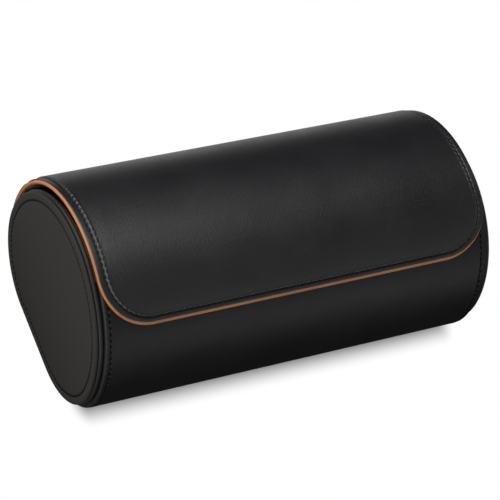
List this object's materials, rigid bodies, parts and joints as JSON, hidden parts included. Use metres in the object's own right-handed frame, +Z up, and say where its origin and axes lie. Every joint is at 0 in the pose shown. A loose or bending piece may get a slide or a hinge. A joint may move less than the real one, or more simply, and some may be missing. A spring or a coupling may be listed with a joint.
{
  "type": "watch travel case",
  "caption": "Leather-covered roll-shaped travel case with a flat base, a hinged flap held by hidden magnets, and divided compartments with removable watch pillows.",
  "frame": {"origin": "on the surface that the flat base rests on, half way along the case and half way between its front and the back of the sewn tab", "axes": "+X along the case's length, -Y towards the front, where the flap ends, +Z up"},
  "size_m": [0.195, 0.1028, 0.0868],
  "materials": {
    "outer_leather": "matt smooth black leather",
    "flap_leather": "satin smooth black leather",
    "end_leather": "matt dark olive grey leather",
    "welt_leather": "matt black leather bead",
    "painted_edge": "orange painted leather edge",
    "suede_lining": "tan suede",
    "pillow_suede": "tan suede cushion cover",
    "foam": "plain foam",
    "board": "stiff fibre board",
    "steel": "plain steel",
    "magnet": "nickel plated"
  },
  "bodies": {
    "case": {"body_leather": "outer_leather", "body_board": "board", "body_lining": "suede_lining", "left_end_panel": "end_leather", "left_welt": "welt_leather", "left_end_board": "board", "left_end_lining": "suede_lining", "right_end_panel": "end_leather", "right_welt": "welt_leather", "right_end_board": "board", "right_end_lining": "suede_lining", "left_divider_board": "board", "left_divider_cover": "suede_lining", "right_divider_board": "board", "right_divider_cover": "suede_lining", "catch_discs": "steel", "tab_board": "board", "tab_leather": "flap_leather", "tab_edge": "painted_edge", "hinge_fold": "flap_leather", "hinge_lining": "suede_lining"},
    "flap": {"flap_board": "board", "flap_leather": "flap_leather", "flap_lining": "suede_lining", "flap_edge": "painted_edge", "flap_magnets": "magnet"},
    "left_pillow": {"left_pillow_core": "foam", "left_pillow_cover": "pillow_suede"},
    "middle_pillow": {"middle_pillow_core": "foam", "middle_pillow_cover": "pillow_suede"},
    "right_pillow": {"right_pillow_core": "foam", "right_pillow_cover": "pillow_suede"}
  },
  "joints": [
    {"name": "flap_hinge", "type": "hinge", "parent": "case", "child": "flap", "pos_m": [0, 0.04822, 0.05206], "axis": [-1, 0, 0], "range_deg": [0, 165], "deforming": ["hinge_fold", "hinge_lining"]},
    {"name": "left_pillow_lift", "type": "slide", "parent": "case", "child": "left_pillow", "axis": [0, 0, 1], "range_m": [0, 0.02]},
    {"name": "middle_pillow_lift", "type": "slide", "parent": "case", "child": "middle_pillow", "axis": [0, 0, 1], "range_m": [0, 0.02]},
    {"name": "right_pillow_lift", "type": "slide", "parent": "case", "child": "right_pillow", "axis": [0, 0, 1], "range_m": [0, 0.02]}
  ]
}
